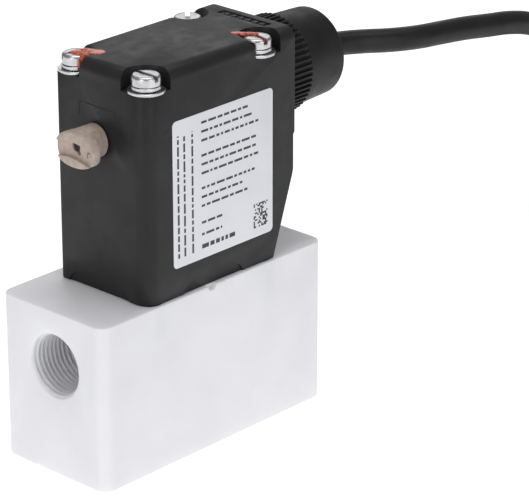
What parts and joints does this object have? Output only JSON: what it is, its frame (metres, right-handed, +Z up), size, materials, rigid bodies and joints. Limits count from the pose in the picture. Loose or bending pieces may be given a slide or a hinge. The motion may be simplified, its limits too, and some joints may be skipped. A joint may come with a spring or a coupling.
{
  "type": "solenoid valve",
  "caption": "Two-way solenoid valve: white block body with threaded port sockets, black moulded coil housing held by long slotted screws, manual override knob, cable gland and coiled cable.",
  "frame": {"origin": "centre of the body block's bottom face", "axes": "+X along the flow, from the override knob's end to the cable gland's end; +Z up, from the body to the coil housing; -Y towards the face with the label"},
  "size_m": [0.3219, 0.0582, 0.1008],
  "materials": {
    "fluoroplastic": "white fluoroplastic block, turned and milled",
    "blackPlastic": "black moulded glass-filled polyamide, faint grain",
    "blackRubber": "black rubber seal",
    "cableSheath": "black rubber cable sheath",
    "zincSteel": "zinc-plated steel",
    "softIron": "bare soft iron",
    "springSteel": "spring steel",
    "brass": "turned brass",
    "beigePlastic": "grey-beige moulded plastic",
    "diaphragmRubber": "moulded rubber diaphragm",
    "bobbinPlastic": "natural moulded plastic",
    "copper": "enamelled copper winding",
    "board": "green circuit board",
    "labelFilm": "white printed polyester film",
    "tiePlastic": "black polyamide strap",
    "brownWire": "brown wire insulation",
    "blueWire": "blue wire insulation",
    "greenWire": "green and yellow wire insulation"
  },
  "bodies": {
    "valve": {"valve_body": "fluoroplastic", "diaphragm": "diaphragmRubber", "clamp_plate": "softIron", "housing_gasket": "blackRubber", "pivot_pin": "springSteel", "return_spring": "springSteel", "bobbin": "bobbinPlastic", "winding": "copper", "pole_core": "softIron", "yoke": "softIron", "circuit_board": "board", "coil_housing": "blackPlastic", "knob_o_ring": "blackRubber", "gland_body": "blackPlastic", "gland_seal": "blackRubber", "gland_cap": "blackPlastic", "data_label": "labelFilm", "cable": "cableSheath", "cable_coil": "cableSheath", "cable_tie": "tiePlastic", "body_insert_1": "brass", "housing_screw_1": "zincSteel", "spring_washer_1": "zincSteel", "flat_washer_1": "zincSteel", "body_insert_2": "brass", "housing_screw_2": "zincSteel", "spring_washer_2": "zincSteel", "flat_washer_2": "zincSteel", "body_insert_3": "brass", "housing_screw_3": "zincSteel", "spring_washer_3": "zincSteel", "flat_washer_3": "zincSteel", "body_insert_4": "brass", "housing_screw_4": "zincSteel", "spring_washer_4": "zincSteel", "flat_washer_4": "zincSteel", "conductor_brown": "brownWire", "ferrule_brown": "zincSteel", "conductor_blue": "blueWire", "ferrule_blue": "zincSteel", "conductor_green": "greenWire", "ferrule_green": "zincSteel"},
    "override": {"override_knob": "beigePlastic", "knob_clip": "springSteel"},
    "armature": {"rocker": "softIron"}
  },
  "joints": [
    {"name": "override_turn", "type": "hinge", "parent": "valve", "child": "override", "pos_m": [-0.0285, -0.0003, 0.0817], "axis": [1, 0, 0], "range_deg": [0, 90]},
    {"name": "armature_tilt", "type": "hinge", "parent": "valve", "child": "armature", "pos_m": [0.0001, -0.0018, 0.0495], "axis": [0, 1, 0], "range_deg": [0, 3], "deforming": ["return_spring", "diaphragm"]}
  ],
  "couplings": [
    {"joint": "armature_tilt", "follows": "override_turn", "ratio": 0.033333}
  ]
}
